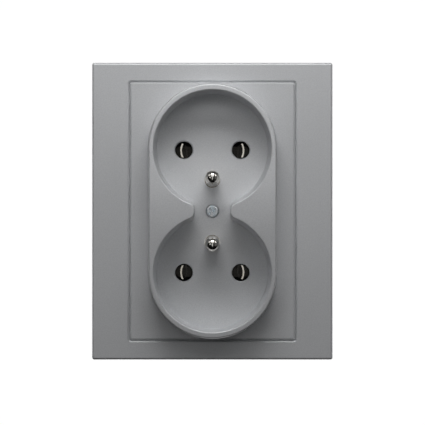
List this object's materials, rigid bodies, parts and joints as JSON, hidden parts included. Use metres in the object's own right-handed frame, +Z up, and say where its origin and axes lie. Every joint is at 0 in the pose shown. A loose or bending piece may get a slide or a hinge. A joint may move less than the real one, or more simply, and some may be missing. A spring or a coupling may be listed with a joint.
{
  "type": "double wall socket",
  "caption": "Flush double mains outlet: flat rectangular frame, long raised boss with round wells joined by a throat, standing earth pins, and an insert with claws for a round wall box.",
  "frame": {"origin": "middle of the support plate's back face, on the wall plane between the box screws", "axes": "+Z up, +Y into the wall, +X to the right as seen from the room"},
  "size_m": [0.0804, 0.0439, 0.0992],
  "materials": {
    "grey_lacquer": "satin metallic lacquer",
    "dark_moulding": "moulded",
    "zinc_steel": "zinc plated",
    "contact_brass": "stamped",
    "pin_nickel": "satin nickel"
  },
  "bodies": {
    "socket": {"cover_frame": "grey_lacquer", "centre_plate": "grey_lacquer", "socket_base": "dark_moulding", "contact_lid": "dark_moulding", "support_plate": "zinc_steel", "cover_screw": "zinc_steel", "claw_screw_left": "zinc_steel", "claw_screw_right": "zinc_steel", "live_terminal_screw": "zinc_steel", "neutral_terminal_screw": "zinc_steel", "earth_terminal_screw": "zinc_steel", "live_clamp": "zinc_steel", "neutral_clamp": "zinc_steel", "earth_clamp": "zinc_steel", "rivet_upper_left": "zinc_steel", "rivet_upper_right": "zinc_steel", "rivet_lower_left": "zinc_steel", "rivet_lower_right": "zinc_steel", "live_bar": "contact_brass", "neutral_bar": "contact_brass", "earth_bar": "contact_brass", "screw_bush": "contact_brass", "earth_pin_upper": "pin_nickel", "earth_pin_lower": "pin_nickel"},
    "left_claw": {"claw_left": "zinc_steel"},
    "right_claw": {"claw_right": "zinc_steel"}
  },
  "joints": [
    {"name": "claw_left_swing", "type": "hinge", "parent": "socket", "child": "left_claw", "pos_m": [-0.0164, 0.0016, 0], "axis": [0, 0, 1], "range_deg": [0, 15]},
    {"name": "claw_right_swing", "type": "hinge", "parent": "socket", "child": "right_claw", "pos_m": [0.0164, 0.0016, 0], "axis": [0, 0, -1], "range_deg": [0, 15]}
  ]
}
